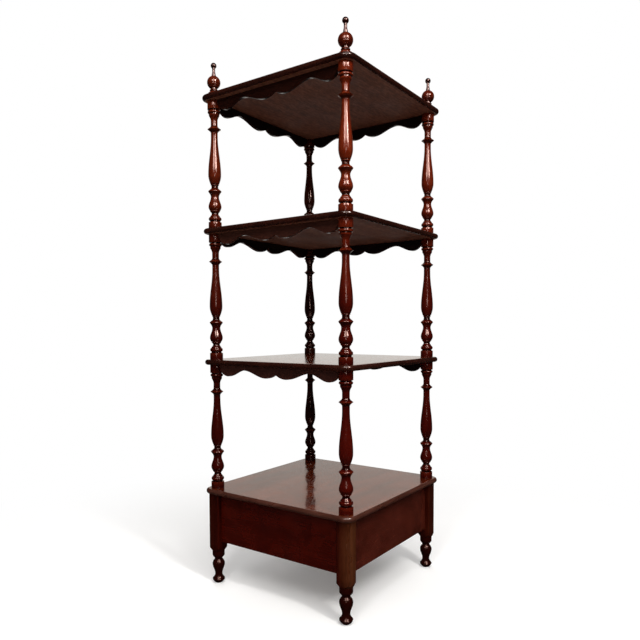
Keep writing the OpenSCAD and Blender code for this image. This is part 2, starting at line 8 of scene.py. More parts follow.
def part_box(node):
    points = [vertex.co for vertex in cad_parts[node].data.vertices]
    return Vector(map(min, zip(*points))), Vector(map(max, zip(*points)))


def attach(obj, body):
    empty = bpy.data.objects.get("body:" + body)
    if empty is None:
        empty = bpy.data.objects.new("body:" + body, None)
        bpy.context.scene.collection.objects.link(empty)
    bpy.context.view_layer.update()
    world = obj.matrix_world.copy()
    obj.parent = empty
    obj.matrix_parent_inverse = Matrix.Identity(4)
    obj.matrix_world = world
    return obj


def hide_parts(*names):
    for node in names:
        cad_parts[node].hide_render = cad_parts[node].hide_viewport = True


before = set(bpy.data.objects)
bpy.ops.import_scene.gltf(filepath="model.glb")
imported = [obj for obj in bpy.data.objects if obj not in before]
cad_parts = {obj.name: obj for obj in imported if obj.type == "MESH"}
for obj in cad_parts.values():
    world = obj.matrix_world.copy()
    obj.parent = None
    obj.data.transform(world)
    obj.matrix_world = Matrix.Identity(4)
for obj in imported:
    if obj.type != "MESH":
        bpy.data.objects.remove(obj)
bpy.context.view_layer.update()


# ---- Camera ----
# It stands a metre and a half from the middle of the object, off the back right corner and half way up,
# and looks almost level. The frame is shifted a few hundredths.

camera_place = (1.2799, 0.8964, 0.6373)
camera_turn = 125.456
camera_pitch = 2.520
camera_roll = -0.173
camera = bpy.data.objects.new("camera", bpy.data.cameras.new("camera"))
camera.data.sensor_width = 36.0
camera.data.lens = 34.679
camera.data.shift_y = 0.0516
camera.data.clip_start = 0.05
camera.data.clip_end = 100.0
camera.matrix_world = (
    Matrix.Translation(camera_place)
    @ Matrix.Rotation(math.radians(camera_turn), 4, "Z")
    @ Matrix.Rotation(math.radians(90.0 - camera_pitch), 4, "X")
    @ Matrix.Rotation(math.radians(camera_roll), 4, "Z")
)
bpy.context.scene.collection.objects.link(camera)
bpy.context.scene.camera = camera
bpy.context.scene.view_settings.view_transform = "Standard"


# ---- Studio ----
# A white room with a pale floor. Four lamps stand on the camera's side, a broad one hangs overhead, and a
# soft one fills in from the front left. Cloths that only the polish mirrors keep the room out of the
# varnish: they are dark, apart from one pale stretch behind the object.

mm = 0.001
plain_white = (1.0, 1.0, 1.0, 1.0)
room_tint = (1.0, 0.985, 0.965, 1.0)
white_room = 1.0
soft_room_light = 0.33
floor_grey = 0.93
floor_dust = 0.01
floor_lift = 0.13
floor_grey_for_light = 0.38
floor_radius = 12.0
fade_start = 0.35
fade_end = 1.3
round_steps = 96


def add_node(tree, kind, inputs=None, **settings):
    """A shader node. An input that is given a socket is joined to it, and any other is set."""
    node = tree.nodes.new(kind)
    for key, value in settings.items():
        setattr(node, key, value)
    for key, value in (inputs or {}).items():
        if isinstance(value, bpy.types.NodeSocket):
            tree.links.new(value, node.inputs[key])
        else:
            node.inputs[key].default_value = value
    return node


def reckon(tree, operation, *values):
    return add_node(tree, "ShaderNodeMath", dict(enumerate(values)), operation=operation).outputs[0]


def reckon_places(tree, operation, *values):
    results = add_node(tree, "ShaderNodeVectorMath", dict(enumerate(values)), operation=operation).outputs
    return results["Value"] if operation in ("LENGTH", "DOT_PRODUCT") else results["Vector"]


def upward_part(tree, direction):
    return add_node(tree, "ShaderNodeSeparateXYZ", {0: direction}).outputs["Z"]


def span(tree, factor, low, high, out_low, out_high, kind="LINEAR"):
    """Carries factor from low..high over to out_low..out_high, and holds it at both ends."""
    return add_node(tree, "ShaderNodeMapRange", {0: factor, 1: low, 2: high, 3: out_low, 4: out_high},
                    interpolation_type=kind).outputs[0]


def cloudy(tree, place, scale, detail, roughness=0.5, distortion=0.0):
    return add_node(tree, "ShaderNodeTexNoise",
                    {"Vector": place, "Scale": scale, "Detail": detail, "Roughness": roughness,
                     "Distortion": distortion}).outputs["Fac"]


def blended(tree, factor, first, second):
    mix = add_node(tree, "ShaderNodeMix", {0: factor}, data_type="RGBA")
    for key, value in ((6, first), (7, second)):
        if isinstance(value, bpy.types.NodeSocket):
            tree.links.new(value, mix.inputs[key])
        else:
            mix.inputs[key].default_value = (*value, 1.0)
    return mix.outputs[2]


def new_finish(name):
    finish = bpy.data.materials.new(name)
    finish.use_nodes = True
    finish.node_tree.nodes.clear()
    return finish, finish.node_tree


def seen_plainly(tree):
    """1 where the camera, a reflection or clear glass looks, and 0 where light falls on things."""
    path = add_node(tree, "ShaderNodeLightPath").outputs
    seen = reckon(tree, "MAXIMUM", path["Is Camera Ray"], path["Is Glossy Ray"])
    return reckon(tree, "MAXIMUM", seen, path["Is Transmission Ray"])


room = bpy.data.worlds.new("white_room")
bpy.context.scene.world = room
room.use_nodes = True
tree = room.node_tree
tree.nodes.clear()
shown = add_node(tree, "ShaderNodeBackground", {"Color": plain_white, "Strength": white_room})
lighting = add_node(tree, "ShaderNodeBackground", {"Color": room_tint, "Strength": soft_room_light})
choice = add_node(tree, "ShaderNodeMixShader",
                  {0: seen_plainly(tree), 1: lighting.outputs[0], 2: shown.outputs[0]})
add_node(tree, "ShaderNodeOutputWorld", {"Surface": choice.outputs[0]})


def round_sheet(height):
    form = bmesh.new()
    bmesh.ops.create_circle(form, cap_ends=True, segments=round_steps, radius=floor_radius)
    bmesh.ops.translate(form, vec=(0.0, 0.0, height), verts=form.verts)
    return form


def stage_sheet(name, form, finish):
    mesh = bpy.data.meshes.new(name)
    form.to_mesh(mesh)
    form.free()
    sheet = bpy.data.objects.new(name, mesh)
    mesh.materials.append(finish)
    bpy.context.scene.collection.objects.link(sheet)
    return sheet


# The floor turns plain white, as the room is, well away from the feet, so that no horizon shows. Where it
# is looked at it is a little lifted, and it sends less light back to the object than its colour would.
floor_finish, tree = new_finish("pale_floor")
place = add_node(tree, "ShaderNodeTexCoord").outputs["Object"]
blend = span(tree, reckon_places(tree, "LENGTH", place), fade_start, fade_end, 0.0, 1.0, "SMOOTHSTEP")
blend = reckon(tree, "MULTIPLY", blend, seen_plainly(tree))
dust = cloudy(tree, place, scale=3.0, detail=2.0)
grey = span(tree, dust, 0.0, 1.0, floor_grey - floor_dust, floor_grey + floor_dust)
sent_back = add_node(tree, "ShaderNodeLightPath").outputs["Is Diffuse Ray"]
grey = add_node(tree, "ShaderNodeMix", {0: sent_back, 2: grey, 3: floor_grey_for_light}).outputs[0]
pale = add_node(tree, "ShaderNodeBsdfDiffuse", {"Color": grey})
lift = reckon(tree, "MULTIPLY", seen_plainly(tree), floor_lift)
lift = add_node(tree, "ShaderNodeEmission", {"Color": plain_white, "Strength": lift})
pale = add_node(tree, "ShaderNodeAddShader", {0: pale.outputs[0], 1: lift.outputs[0]})
far_white = add_node(tree, "ShaderNodeEmission", {"Color": plain_white, "Strength": white_room})
floor_mix = add_node(tree, "ShaderNodeMixShader", {0: blend, 1: pale.outputs[0], 2: far_white.outputs[0]})
add_node(tree, "ShaderNodeOutputMaterial", {"Surface": floor_mix.outputs[0]})
stage_sheet("floor", round_sheet(0.0), floor_finish)


def only_in_polish(sheet):
    sheet.visible_camera = False
    sheet.visible_diffuse = False
    sheet.visible_transmission = False
    sheet.visible_volume_scatter = False
    sheet.visible_shadow = False


ceiling_cloth_high = 3.6
cloth_dark = (0.014, 0.010, 0.008)
cloth_finish, tree = new_finish("dark_cloth")
cloth = add_node(tree, "ShaderNodeEmission", {"Color": (*cloth_dark, 1.0), "Strength": 1.0})
add_node(tree, "ShaderNodeOutputMaterial", {"Surface": cloth.outputs[0]})
for name, height in (("floor_cloth", 0.5 * mm), ("ceiling_cloth", ceiling_cloth_high)):
    only_in_polish(stage_sheet(name, round_sheet(height), cloth_finish))

# A ring of cloths stands round the room: dark ones, and a pale one behind the object that the tops reflect.
ring_out = 3.6
pale_turn = math.radians(camera_turn + 180.0)
pale_full = math.cos(math.radians(17.0))
pale_gone = math.cos(math.radians(24.0))
grey_up_to = 0.80
pink_from = 1.20
pale_grey = (0.79, 0.77, 0.73)
pale_pink = (0.87, 0.73, 0.64)
ring_finish, tree = new_finish("ring_of_cloths")
place = add_node(tree, "ShaderNodeTexCoord").outputs["Object"]
outwards = reckon_places(tree, "NORMALIZE", reckon_places(tree, "MULTIPLY", place, (1.0, 1.0, 0.0)))
behind = reckon_places(tree, "DOT_PRODUCT", outwards, (math.sin(pale_turn), -math.cos(pale_turn), 0.0))
pale_part = span(tree, behind, pale_gone, pale_full, 0.0, 1.0, "SMOOTHSTEP")
height = span(tree, upward_part(tree, place), grey_up_to, pink_from, 0.0, 1.0)
pale_colour = blended(tree, height, pale_grey, pale_pink)
ring_colour = blended(tree, pale_part, cloth_dark, pale_colour)
cloth = add_node(tree, "ShaderNodeEmission", {"Color": ring_colour, "Strength": 1.0})
add_node(tree, "ShaderNodeOutputMaterial", {"Surface": cloth.outputs[0]})
form = bmesh.new()
bmesh.ops.create_circle(form, cap_ends=False, segments=round_steps, radius=ring_out)
raised = bmesh.ops.extrude_edge_only(form, edges=form.edges[:])["geom"]
bmesh.ops.translate(form, vec=(0.0, 0.0, ceiling_cloth_high),
                    verts=[part for part in raised if isinstance(part, bmesh.types.BMVert)])
only_in_polish(stage_sheet("ring_of_cloths", form, ring_finish))


def soft_lamp(name, width, height, brightness, place, aim, tint):
    lamp = bpy.data.lights.new(name, "AREA")
    lamp.shape = "RECTANGLE"
    lamp.size = width
    lamp.size_y = height
    lamp.energy = brightness * math.pi * width * height
    lamp.color = tint
    holder = bpy.data.objects.new(name, lamp)
    holder.location = place
    holder.rotation_euler = (Vector(aim) - Vector(place)).to_track_quat("-Z", "Y").to_euler()
    holder.visible_camera = False
    bpy.context.scene.collection.objects.link(holder)


def round_about(turn, out, height):
    angle = math.radians(turn)
    return (math.sin(angle) * out, -math.cos(angle) * out, height)


soft_lamp("window_lamp", width=2.4, height=1.0, brightness=3.9,
          place=round_about(137.0, 1.95, 2.30), aim=(0.0, 0.0, 1.0), tint=(1.0, 0.985, 0.96))
soft_lamp("right_hand_lamp", width=0.22, height=0.9, brightness=40.0,
          place=round_about(158.0, 1.85, 2.12), aim=(0.0, 0.0, 1.1), tint=(1.0, 0.98, 0.96))
soft_lamp("left_hand_lamp", width=0.30, height=0.9, brightness=13.0,
          place=round_about(109.0, 1.9, 2.12), aim=(0.0, 0.0, 1.1), tint=(1.0, 0.98, 0.96))
soft_lamp("low_lamp", width=0.12, height=0.66, brightness=13.0,
          place=round_about(129.0, 2.4, 1.10), aim=(0.0, 0.0, 0.9), tint=(1.0, 0.99, 0.98))
soft_lamp("overhead_lamp", width=2.6, height=2.6, brightness=1.4,
          place=(0.3, 0.2, 3.3), aim=(0.0, 0.0, 0.6), tint=(1.0, 0.99, 0.98))
soft_lamp("fill_lamp", width=2.0, height=1.4, brightness=2.0,
          place=round_about(325.0, 2.6, 1.6), aim=(0.0, 0.0, 0.6), tint=(1.0, 0.99, 0.98))

# The polish doesn't mirror these two.
for lamp in ("overhead_lamp", "fill_lamp"):
    bpy.data.objects[lamp].visible_glossy = False


# ---- Boards ----
# Four boards of half-inch mahogany with rounded corners and a full half-round edge. Tops and edges are
# French polished, and the undersides are left stained and unpolished. The grain runs from side to side.

board_corner = 25 * mm
board_nose = 6.3 * mm
board_soft_line = 0.7 * mm
corner_steps = 14
nose_steps = 7
level_face = 0.999
broad_area = 0.01
least_upright = 2 * mm
same_place = 0.01 * mm
fibres_per_streak = 12
coat_roughness = 0.04
cloud_stretch = 0.4
side_to_side = (0.05, 1.0, 1.0)
side_to_side_on_edge = (0.05, 0.4, 1.0)


def stretched(tree, place, scale, shift=(0.0, 0.0, 0.0), turn=(0.0, 0.0, 0.0)):
    return add_node(tree, "ShaderNodeMapping",
                    {"Vector": place, "Location": shift, "Rotation": turn, "Scale": scale}).outputs[0]


def wood(tree, grain, streak, shift=(0.0, 0.0, 0.0)):
    """The grain's pattern, its fibres, its pores and the uneven stain, each from 0 to 1, and the place."""
    place = add_node(tree, "ShaderNodeTexCoord").outputs["Object"]
    along = stretched(tree, place, grain, shift)
    figure = cloudy(tree, along, scale=streak, detail=3.0, roughness=0.55, distortion=0.5)
    fibre = cloudy(tree, along, scale=streak * fibres_per_streak, detail=5.0, roughness=0.62)
    stain = cloudy(tree, place, scale=11.0, detail=3.0)
    pore = span(tree, cloudy(tree, along, scale=2100.0, detail=1.0), 0.60, 0.72, 0.0, 1.0)
    pattern = reckon(tree, "MULTIPLY", figure, 0.50)
    pattern = reckon(tree, "MULTIPLY_ADD", fibre, 0.34, pattern)
    pattern = reckon(tree, "MULTIPLY_ADD", stain, 0.16, pattern)
    return pattern, fibre, pore, stain, place


def tones(tree, factor, colours, positions=(0.30, 0.50, 0.70)):
    ramp = add_node(tree, "ShaderNodeValToRGB", {0: factor})
    stops = ramp.color_ramp.elements
    stops.new(0.5)
    for stop, position, colour in zip(stops, positions, colours):
        stop.position = position
        stop.color = (*colour, 1.0)
    return ramp.outputs["Color"]


def close_finish(tree, colour, roughness, heights, specular=0.5, tint=(1.0, 1.0, 1.0), coat=0.0):
    """Joins colour, roughness and bump to the shader. heights are (height, depth in metres) pairs."""
    inputs = {}
    for height, depth in heights:
        bump = add_node(tree, "ShaderNodeBump",
                        {"Height": height, "Strength": 1.0, "Distance": depth, **inputs})
        inputs = {"Normal": bump.outputs[0]}
    if coat:
        inputs["Coat Normal"] = inputs["Normal"]
    shader = add_node(tree, "ShaderNodeBsdfPrincipled",
                      {"Base Color": colour, "Roughness": roughness, "Specular IOR Level": specular,
                       "Specular Tint": (*tint, 1.0), "Coat Weight": coat, "Coat Roughness": coat_roughness,
                       **inputs})
    add_node(tree, "ShaderNodeOutputMaterial", {"Surface": shader.outputs[0]})


def polished_wood(name, grain, streak, dark, middle, light, gloss, spread=0.14, clouds=0.0,
                  specular=0.5, tint=(1.0, 1.0, 1.0), coat=0.0):
    """Grain, cloudy stain and dark pores under polish that is rubbed duller in places, by spread."""
    finish, tree = new_finish(name)
    pattern, fibre, pore, stain, place = wood(tree, grain, streak)
    colour = tones(tree, pattern, (dark, middle, light))
    along = [cloud_stretch if stretch < 0.5 else 1.0 for stretch in grain]
    cloud = stretched(tree, place, along)
    cloud = cloudy(tree, cloud, scale=15.0, detail=4.0, roughness=0.6, distortion=0.8)
    colour = blended(tree, span(tree, cloud, 0.50, 0.66, 0.0, clouds), colour, light)
    colour = blended(tree, span(tree, cloud, 0.34, 0.48, clouds, 0.0), colour, dark)
    colour = blended(tree, span(tree, pore, 0.0, 1.0, 0.0, 0.55), colour, dark)
    rubbed = cloudy(tree, place, scale=34.0, detail=4.0, roughness=0.7)
    roughness = span(tree, rubbed, 0.35, 0.75, gloss, gloss + spread)
    uneven = cloudy(tree, place, scale=17.0, detail=2.0)
    close_finish(tree, colour, roughness, ((uneven, 0.22 * mm), (fibre, 0.05 * mm), (pore, -0.04 * mm)),
                 specular, tint, coat)
    return finish


board_finish = polished_wood(
    "polished_tops", side_to_side, streak=30.0, dark=(0.022, 0.0026, 0.0010),
    middle=(0.072, 0.0094, 0.0029), light=(0.165, 0.0310, 0.0095), gloss=0.03, spread=0.07, clouds=0.55)
# The upper boards' rounded edges are painted much darker than their tops, which are the same wood: painted
# shade.
shaded_nose_finish = polished_wood(
    "polished_edges_painted_shade", side_to_side_on_edge, streak=36.0, dark=(0.009, 0.0018, 0.0011),
    middle=(0.021, 0.0044, 0.0026), light=(0.040, 0.0092, 0.0056), gloss=0.20, spread=0.12, clouds=0.4,
    specular=0.45, tint=(1.0, 0.66, 0.56), coat=0.75)
# The base board's edge is a lighter copy of the same polish: painted light, for the light that falls on it
# from above.
lit_base_nose_finish = polished_wood(
    "polished_base_edges_painted_light", side_to_side_on_edge, streak=36.0, dark=(0.028, 0.0070, 0.0040),
    middle=(0.062, 0.0180, 0.0110), light=(0.105, 0.0370, 0.0250), gloss=0.26, spread=0.12, clouds=0.4,
    specular=0.6, tint=(1.0, 0.78, 0.70), coat=0.75)

underside_finish, tree = new_finish("unpolished_undersides")
pattern, fibre, pore, stain, place = wood(tree, side_to_side, streak=38.0, shift=(0.7, 0.3, 0.0))
colour = tones(tree, pattern, ((0.105, 0.0325, 0.0155), (0.172, 0.0555, 0.0275), (0.248, 0.0890, 0.0470)))
saw_marks = cloudy(tree, stretched(tree, place, (0.25, 1.0, 1.0)), scale=260.0, detail=4.0, roughness=0.7)
colour = blended(tree, span(tree, saw_marks, 0.35, 0.52, 0.55, 0.0), colour, (0.055, 0.020, 0.012))
colour = blended(tree, span(tree, saw_marks, 0.52, 0.70, 0.0, 0.45), colour, (0.330, 0.1450, 0.0880))
colour = blended(tree, span(tree, pore, 0.0, 1.0, 0.0, 0.5), colour, (0.022, 0.009, 0.006))
roughness = span(tree, stain, 0.3, 0.7, 0.55, 0.72)
close_finish(tree, colour, roughness, ((fibre, 0.12 * mm), (pore, -0.06 * mm)), specular=0.18)


def squared_blank(low, high):
    form = bmesh.new()
    bmesh.ops.create_cube(form, size=1.0)
    bmesh.ops.scale(form, vec=Vector(high) - Vector(low), verts=form.verts)
    bmesh.ops.translate(form, vec=(Vector(high) + Vector(low)) / 2, verts=form.verts)
    return form


def uprights(form):
    return [edge for edge in form.edges if abs(edge.verts[0].co.z - edge.verts[1].co.z) > least_upright]


def rims(form):
    return [edge for edge in form.edges if abs(edge.verts[0].co.z - edge.verts[1].co.z) < same_place]


def rounded(form, edges, radius, steps):
    bmesh.ops.bevel(form, geom=edges, affect="EDGES", offset=radius, segments=steps, profile=0.5,
                    material=-1)


def finished_piece(name, form, finishes, body, node, crease=32.0, flat_led=True):
    mesh = bpy.data.meshes.new(name)
    form.to_mesh(mesh)
    form.free()
    mesh.shade_smooth()
    mesh.set_sharp_from_angle(angle=math.radians(crease))
    for finish in finishes:
        mesh.materials.append(finish)
    piece = bpy.data.objects.new(name, mesh)
    bpy.context.scene.collection.objects.link(piece)
    if flat_led:
        piece.modifiers.new("flat_faces_lead", "WEIGHTED_NORMAL").keep_sharp = True
    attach(piece, body)
    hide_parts(node)
    return piece


for node in ("top_board", "upper_board", "middle_board", "base_board"):
    form = squared_blank(*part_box(node))
    rounded(form, uprights(form), board_corner, corner_steps)
    rounded(form, rims(form), board_nose, nose_steps)
    broad = [face for face in form.faces
             if abs(face.normal.z) > level_face and face.calc_area() > broad_area]
    bmesh.ops.inset_individual(form, faces=broad, thickness=board_soft_line)
    for face in form.faces:
        face.material_index = 2 if abs(face.normal.z) < level_face else (1 if face.normal.z < 0 else 0)
    # The base board's edge gets the painted light, the other edges the painted shade.
    edge_finish = lit_base_nose_finish if node == "base_board" else shaded_nose_finish
    finished_piece("polished_" + node, form, (board_finish, underside_finish, edge_finish), "case", node)


# ---- Turned posts ----
# Twelve mahogany spindles, each turned in one piece with a block, an urn, a disc and a long vase. They are
# doweled through the boards into each other, stained red and polished. The upper ones are painted lighter,
# as painted light, and those away from the window are painted darker, as painted shade. Sizes are in
# millimetres, from the bottom up.

turning_steps = 64
curve_steps = 12
relief_reach = 4
merge_within = 0.002 * mm
wide_crease = 40.0
post_x = 387 * mm / 2
post_y = 379 * mm / 2
spindle_h = 305
block_r = 15.8
block_h = 15.5
block_ease = 0.5
groove_r = 12.3
groove_h = 3.5
ring_r = 15.4
ring_h = 9
cove_h = 8
neck_r = 8.2
urn_foot_h = 5
bead_h = 2
bead_r = 12
urn_r = 15.6
urn_bowl_h = 9.5
urn_shoulder_h = 24.5
waist_r = 9.8
disc_r = 16
disc_flare_h = 12.5
disc_dome_h = 9.5
short_neck_h = 5.5
vase_foot_r = 10
vase_r = 15.4
vase_swell_h = 23
top_block_h = 20
top_groove_h = 2.5
top_ring_h = 6.5
top_step_h = 5
top_step_r = 12.6
top_cove_h = 12
top_neck_h = 11.5
top_disc_flare_h = 9
long_neck_h = 8.5


def eased_steps(count):
    return [step / count for step in range(1, count + 1)]


def ogee(r1, z1, r2, z2):
    return [(r1 + (r2 - r1) * (1 - math.cos(math.pi * t)) / 2, z1 + (z2 - z1) * t)
            for t in eased_steps(2 * curve_steps)]


def swell(r1, z1, r2, z2):
    return [(r1 + (r2 - r1) * math.sin(math.pi / 2 * t), z1 + (z2 - z1) * t)
            for t in eased_steps(curve_steps)]


def flare(r1, z1, r2, z2):
    return [(r1 + (r2 - r1) * (1 - math.cos(math.pi / 2 * t)), z1 + (z2 - z1) * t)
            for t in eased_steps(curve_steps)]


def bead(r1, r2, z1, z2):
    return [(r1 + (r2 - r1) * math.sin(math.pi * t), (z1 + z2) / 2 - (z2 - z1) / 2 * math.cos(math.pi * t))
            for t in [0] + eased_steps(curve_steps)]


def upside_down(points):
    return [(r, -z) for r, z in reversed(points)]


def soft_block(r, z1, z2):
    """A straight stretch from z1 to z2 with its two arrises eased."""
    part = 0.3 * block_ease
    return [(r - block_ease, z1), (r - part, z1 + part), (r, z1 + block_ease),
            (r, z2 - block_ease), (r - part, z2 - part), (r - block_ease, z2)]


def spindle_points():
    groove_top = block_h + groove_h
    ring_top = groove_top + ring_h
    neck = ring_top + cove_h
    bead_low = neck + urn_foot_h
    bead_top = bead_low + bead_h
    urn = bead_top + urn_bowl_h
    waist = urn + urn_shoulder_h
    disc = waist + disc_flare_h
    dome_top = disc + disc_dome_h
    vase_foot = dome_top + short_neck_h + bead_h
    vase = vase_foot + vase_swell_h
    top_groove = spindle_h - top_block_h
    top_ring = top_groove - top_groove_h
    step_top = top_ring - top_ring_h
    step_low = step_top - top_step_h
    cove_low = step_low - top_cove_h
    upper_disc_top = cove_low - top_neck_h
    upper_disc = upper_disc_top - top_disc_flare_h
    upper_disc_low = upper_disc - top_disc_flare_h
    return (
        [(0, 0)] + soft_block(block_r, 0, block_h) + [(groove_r, block_h + groove_h / 2)]
        + bead(groove_r, ring_r, groove_top, ring_top)
        + ogee(groove_r, ring_top, neck_r, neck)
        + flare(neck_r, neck, bead_r - bead_h / 2, bead_low)
        + bead(bead_r - bead_h / 2, bead_r, bead_low, bead_top)
        + swell(bead_r, bead_top, urn_r, urn)
        + ogee(urn_r, urn, waist_r, waist)
        + flare(waist_r, waist, disc_r, disc)
        + ogee(disc_r, disc, neck_r, dome_top)
        + [(neck_r, dome_top + short_neck_h)]
        + bead(vase_foot_r - bead_h / 2, vase_foot_r, vase_foot - bead_h, vase_foot)
        + swell(vase_foot_r, vase_foot, vase_r, vase)
        + ogee(vase_r, vase, neck_r, upper_disc_low - long_neck_h)
        + [(neck_r, upper_disc_low)]
        + flare(neck_r, upper_disc_low, disc_r, upper_disc)
        + upside_down(flare(neck_r, -upper_disc_top, disc_r, -upper_disc))
        + [(neck_r, upper_disc_top), (neck_r, cove_low)]
        + flare(neck_r, cove_low, top_step_r, step_low)
        + [(top_step_r, step_top - top_step_h / 2)]
        + bead(top_step_r, ring_r, step_top, top_ring)
        + [(groove_r, top_ring + top_groove_h / 2)]
        + soft_block(block_r, top_groove, spindle_h) + [(0, spindle_h)]
    )


def means_of(points):
    """The outline's mean radius over relief_reach up and down, for every half millimetre up."""
    low = points[0][1]
    tall = points[-1][1] - low
    profile = []
    for step in range(int(2 * tall) + 1):
        z = low + step / 2
        here = [r1 + (r2 - r1) * (z - z1) / (z2 - z1) for (r1, z1), (r2, z2) in zip(points, points[1:])
                if z1 <= z <= z2 and z2 > z1]
        profile.append(max(here) if here else profile[-1])
    near = 2 * relief_reach
    means = [sum(profile[max(0, i - near):i + near + 1]) / len(profile[max(0, i - near):i + near + 1])
             for i in range(len(profile))]
    return low, means


def turned(points, place):
    """A turned solid about a vertical axis at place, from points in millimetres. Its relief attribute says
    how far each point stands out from the outline's mean there."""
    form = bmesh.new()
    outline = [form.verts.new((r * mm, 0.0, z * mm)) for r, z in points]
    lines = [form.edges.new(pair) for pair in zip(outline, outline[1:])]
    bmesh.ops.spin(form, geom=outline + lines, cent=(0, 0, 0), axis=(0, 0, 1), angle=math.tau,
                   steps=turning_steps, use_merge=True)
    bmesh.ops.remove_doubles(form, verts=form.verts, dist=merge_within)
    bmesh.ops.recalc_face_normals(form, faces=form.faces)
    low, means = means_of(points)
    relief = form.verts.layers.float.new("relief")
    for vert in form.verts:
        step = min(len(means) - 1, max(0, round(2 * (vert.co.z / mm - low))))
        vert[relief] = math.hypot(vert.co.x, vert.co.y) / mm - means[step]
    bmesh.ops.translate(form, vec=place, verts=form.verts)
    return form


# A near-black red used as painted shade on the turned wood.
painted_shade_dark = (0.0045, 0.0009, 0.0005)
towards_window = (0.8, 1.2, 0.0)
up_and_down = (1.0, 1.0, 0.07)


def turned_wood(name, lower_tones, upper_tones, blend=(1.0, 2.0), shade_away_from_window=False):
    """Red stain under polish, from the lower tones to the lighter upper ones between two heights, which is
    painted light. Hollows and undersides are painted dark as shade and arrises worn, and when its flag is
    set the colour is painted darker, as shade, the further the wood is from the window."""
    finish, tree = new_finish(name)
    pattern, fibre, pore, stain, place = wood(tree, up_and_down, streak=46.0)
    lower = tones(tree, pattern, lower_tones)
    upper = tones(tree, pattern, upper_tones)
    # Painted light: the colour turns to the lighter upper tones with height.
    height = reckon(tree, "MULTIPLY_ADD", stain, 0.12, upward_part(tree, place))
    colour = blended(tree, span(tree, height, *blend, 0.0, 1.0), lower, upper)
    # Painted shade: the farther the wood stands from the window, the darker its colour is painted.
    clear = reckon_places(tree, "DOT_PRODUCT", place, towards_window)
    clear = span(tree, clear, -0.36, 0.14, 0.22 if shade_away_from_window else 1.0, 1.0)
    colour = blended(tree, clear, painted_shade_dark, colour)
    # Painted shade: faces that look downwards are painted darker, towards near black.
    facing_up = upward_part(tree, add_node(tree, "ShaderNodeNewGeometry").outputs["Normal"])
    colour = blended(tree, span(tree, facing_up, -0.6, -0.05, 0.6, 0.0), colour, painted_shade_dark)
    relief = add_node(tree, "ShaderNodeAttribute", attribute_name="relief").outputs["Fac"]
    # Painted shade: hollows and creases in the outline are painted nearly black.
    hollow = span(tree, relief, -0.8, -0.12, 0.94, 0.0)
    arris = span(tree, relief, 0.5, 1.6, 0.0, 0.35)
    arris = reckon(tree, "MULTIPLY", arris, span(tree, stain, 0.35, 0.6, 0.2, 1.0))
    colour = blended(tree, arris, colour, upper_tones[2])
    colour = blended(tree, hollow, colour, painted_shade_dark)
    colour = blended(tree, span(tree, pore, 0.0, 1.0, 0.0, 0.4), colour, lower_tones[0])
    roughness = span(tree, cloudy(tree, place, scale=60.0, detail=4.0), 0.35, 0.7, 0.10, 0.20)
    dents = cloudy(tree, place, scale=300.0, detail=2.0)
    tool_marks = cloudy(tree, stretched(tree, place, (0.02, 0.02, 1.0)), scale=420.0, detail=2.0)
    heights = ((dents, 0.09 * mm), (fibre, 0.14 * mm), (tool_marks, 0.05 * mm), (pore, -0.03 * mm))
    close_finish(tree, colour, roughness, heights, specular=1.0, tint=(1.0, 0.66, 0.58))
    return finish


# The upper tones are lighter than the lower ones: painted light, as more light falls on the upper tiers.
deep_red = ((0.023, 0.0008, 0.0003), (0.046, 0.0018, 0.0006), (0.076, 0.0042, 0.0014))
lit_upper_red = ((0.056, 0.0042, 0.0009), (0.112, 0.0105, 0.0022), (0.180, 0.0250, 0.0065))
spindle_finish = turned_wood("turned_posts", deep_red, lit_upper_red, blend=(0.70, 1.10), shade_away_from_window=True)
spindle_shape = spindle_points()
corners = {"front_left": (-post_x, -post_y), "front_right": (post_x, -post_y),
           "back_left": (-post_x, post_y), "back_right": (post_x, post_y)}
for tier, board in (("lower", "base_board"), ("middle", "middle_board"), ("upper", "upper_board")):
    board_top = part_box(board)[1][2]
    for corner, (x, y) in corners.items():
        node = tier + "_spindle_" + corner
        form = turned(spindle_shape, (x, y, board_top))
        finished_piece("turned_" + node, form, (spindle_finish,), "case", node,
                       wide_crease, flat_led=False)


# ---- Finials ----
# Four turned mahogany finials stand over the posts on the top board: a cupped foot, a ball with two fine
# grooves round it, a slim pale grey-pink stem, and a small dark ball. Each is doweled through into the
# post.

finial_foot_r = 15.5
finial_foot_h = 6
finial_cove_h = 6.5
finial_neck_r = 8
ball_r = 16
ball_h = 32
ball_grooves = (4.3, 10.1)
groove_half_w = 0.7
groove_depth = 0.55
stem_r = 5.2
stem_top_r = 3.6
stem_h = 13
small_ball_r = 7
small_ball_h = 72


def ball(r, z, r1, r2, grooves=()):
    low = -math.acos(r1 / r)
    high = math.acos(r2 / r)
    count = 10 * curve_steps if grooves else 3 * curve_steps
    points = []
    for step in range(count + 1):
        angle = low + (high - low) * step / count
        drop = -r * math.sin(angle)
        cut = max([1 - abs(drop - groove) / groove_half_w for groove in grooves] + [0.0])
        points.append(((r - cut * groove_depth) * math.cos(angle), z - drop))
    return points


cove_top = finial_foot_h + finial_cove_h
stem_low = ball_h + math.sqrt(ball_r ** 2 - stem_r ** 2)
finial_shape = (
    [(0, 0), (finial_foot_r, 0), (finial_foot_r, finial_foot_h / 2)]
    + ogee(finial_foot_r, finial_foot_h / 2, finial_neck_r + bead_h / 2, cove_top)
    + bead(finial_neck_r + bead_h / 2, finial_neck_r + bead_h, cove_top, cove_top + bead_h)
    + [(finial_neck_r, cove_top + 1.5 * bead_h)]
    + ball(ball_r, ball_h, finial_neck_r, stem_r, ball_grooves)
    + ogee(stem_r, stem_low, stem_top_r, stem_low + stem_h)
    + ball(small_ball_r, small_ball_h, stem_top_r, 0)
)
ball_red = ((0.036, 0.0028, 0.0008), (0.074, 0.0072, 0.0018), (0.125, 0.0190, 0.0060))
